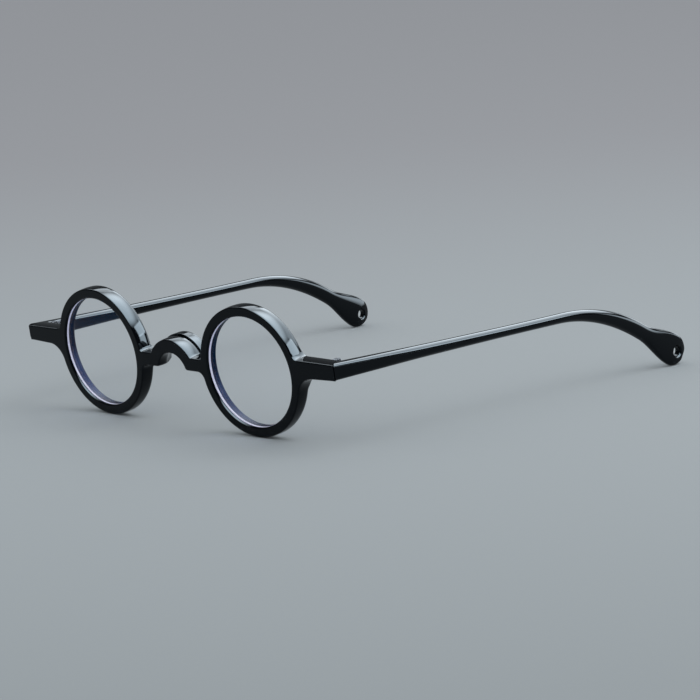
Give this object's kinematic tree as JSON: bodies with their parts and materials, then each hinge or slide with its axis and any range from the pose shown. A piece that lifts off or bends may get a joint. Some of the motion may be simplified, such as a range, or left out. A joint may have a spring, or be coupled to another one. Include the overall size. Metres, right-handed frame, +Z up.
{
  "type": "eyeglasses",
  "caption": "Round acetate eyeglasses with a keyhole-like saddle bridge, barrel hinges and folding temples with drop ends.",
  "frame": {"origin": "on the surface the glasses stand on, in the middle of the footprint of the opened glasses", "axes": "+X to the wearer's left, +Y from the front towards the temple tips, +Z up"},
  "size_m": [0.1406, 0.1487, 0.0392],
  "materials": {
    "acetate": "polished black acetate",
    "saddle_acetate": "polished black acetate",
    "lens": "clear, polished",
    "hinge_steel": "satin nickel silver",
    "screw_steel": "plated",
    "wire_steel": "drawn wire"
  },
  "bodies": {
    "front_body": {"front": "acetate", "bridge_saddle": "saddle_acetate", "lens_left": "lens", "lens_right": "lens", "front_leaf_left": "hinge_steel", "front_leaf_right": "hinge_steel", "hinge_screw_left": "screw_steel", "hinge_screw_right": "screw_steel"},
    "temple_left_body": {"temple_left": "acetate", "core_wire_left": "wire_steel", "temple_leaf_left": "hinge_steel"},
    "temple_right_body": {"temple_right": "acetate", "core_wire_right": "wire_steel", "temple_leaf_right": "hinge_steel"}
  },
  "joints": [
    {"name": "hinge_left", "type": "hinge", "parent": "front_body", "child": "temple_left_body", "pos_m": [0.06183, -0.06488, 0.02283], "axis": [0, -0.1167, 0.9932], "range_deg": [0, 91]},
    {"name": "hinge_right", "type": "hinge", "parent": "front_body", "child": "temple_right_body", "pos_m": [-0.06183, -0.06488, 0.02283], "axis": [0, 0.1167, -0.9932], "range_deg": [0, 86]}
  ]
}
